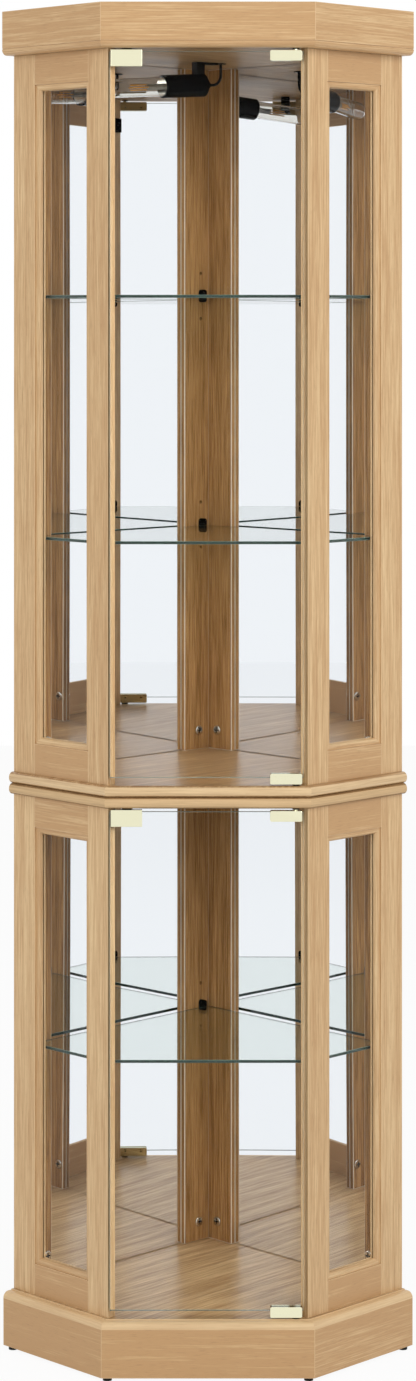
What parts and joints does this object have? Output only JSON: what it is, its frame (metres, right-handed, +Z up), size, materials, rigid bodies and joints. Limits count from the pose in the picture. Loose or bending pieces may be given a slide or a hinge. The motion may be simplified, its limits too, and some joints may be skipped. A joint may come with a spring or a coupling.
{
  "type": "corner curio cabinet",
  "caption": "Tall five-sided corner display cabinet with glazed side wings, frameless glass doors, glass shelves, mirrored back walls and a small lamp.",
  "frame": {"origin": "on the floor, at the centre of the outline's bounding box", "axes": "+Z up, +X to the viewer's right, -Y to the front; the back corner of the room lies at +Y"},
  "size_m": [0.5546, 0.4144, 1.8],
  "materials": {
    "oak_veneer": "light oak veneer, satin lacquer",
    "hardboard": "raw hardboard",
    "clear_glass": "clear float glass, polished edges",
    "mirror_glass": "silvered glass",
    "polished_brass": "polished, lacquered",
    "nickel_screws": "nickel plated",
    "black_plastic": "moulded, satin",
    "black_steel": "black powder coat",
    "black_lead": "smooth sheath",
    "bulb_glass": "clear blown glass",
    "filament": "coated filament strips on a glass stem"
  },
  "bodies": {
    "cabinet": {"top_panel": "oak_veneer", "crown_left": "oak_veneer", "crown_right": "oak_veneer", "crown_front": "oak_veneer", "upper_floor_panel": "oak_veneer", "lower_top_panel": "oak_veneer", "bottom_panel": "oak_veneer", "plinth_left": "oak_veneer", "plinth_right": "oak_veneer", "plinth_front": "oak_veneer", "plinth_backs": "oak_veneer", "left_lower_stiles": "oak_veneer", "left_lower_rails": "oak_veneer", "left_lower_glazing_beads": "oak_veneer", "left_lower_side_glass": "clear_glass", "right_lower_stiles": "oak_veneer", "right_lower_rails": "oak_veneer", "right_lower_glazing_beads": "oak_veneer", "right_lower_side_glass": "clear_glass", "lower_wall_boards": "oak_veneer", "lower_corner_boards": "oak_veneer", "lower_mirrors": "mirror_glass", "left_upper_stiles": "oak_veneer", "left_upper_rails": "oak_veneer", "left_upper_glazing_beads": "oak_veneer", "left_upper_side_glass": "clear_glass", "right_upper_stiles": "oak_veneer", "right_upper_rails": "oak_veneer", "right_upper_glazing_beads": "oak_veneer", "right_upper_side_glass": "clear_glass", "upper_wall_boards": "oak_veneer", "upper_corner_boards": "oak_veneer", "upper_mirrors": "mirror_glass", "upper_shelf": "clear_glass", "middle_shelf": "clear_glass", "lower_shelf": "clear_glass", "back_sheets": "hardboard", "board_screws": "nickel_screws", "shelf_clips": "black_plastic", "feet": "black_plastic", "pivot_bushes": "black_plastic", "latch_bodies": "black_plastic", "lamp_holder": "black_plastic", "lamp_bracket": "black_steel", "lamp_lead": "black_lead", "lead_grommet": "black_plastic", "bulb_cap": "nickel_screws", "bulb_glass": "bulb_glass", "bulb_filaments": "filament", "switch_case": "black_plastic"},
    "upper_door": {"upper_door_glass": "clear_glass", "upper_door_clamps": "polished_brass", "upper_strike_clip": "polished_brass"},
    "lower_door": {"lower_door_glass": "clear_glass", "lower_door_clamps": "polished_brass", "lower_strike_clip": "polished_brass"},
    "upper_plunger": {"upper_latch_plunger": "black_plastic"},
    "lower_plunger": {"lower_latch_plunger": "black_plastic"},
    "rocker": {"switch_rocker": "black_plastic"}
  },
  "joints": [
    {"name": "upper_door_hinge", "type": "hinge", "parent": "cabinet", "child": "upper_door", "pos_m": [0.11532, -0.18608, 1.258], "axis": [0, 0, 1], "range_deg": [0, 105]},
    {"name": "lower_door_hinge", "type": "hinge", "parent": "cabinet", "child": "lower_door", "pos_m": [0.11532, -0.18608, 0.411], "axis": [0, 0, 1], "range_deg": [0, 105]},
    {"name": "upper_latch_push", "type": "slide", "parent": "cabinet", "child": "upper_plunger", "axis": [0, 1, 0], "range_m": [0, 0.0035], "stiffness_N_per_m": 200},
    {"name": "lower_latch_push", "type": "slide", "parent": "cabinet", "child": "lower_plunger", "axis": [0, 1, 0], "range_m": [0, 0.0035], "stiffness_N_per_m": 200},
    {"name": "switch_rock", "type": "hinge", "parent": "cabinet", "child": "rocker", "pos_m": [0.12671, -0.16207, 1.699], "axis": [-0.7071, -0.7071, 0], "range_deg": [0, 12]}
  ]
}
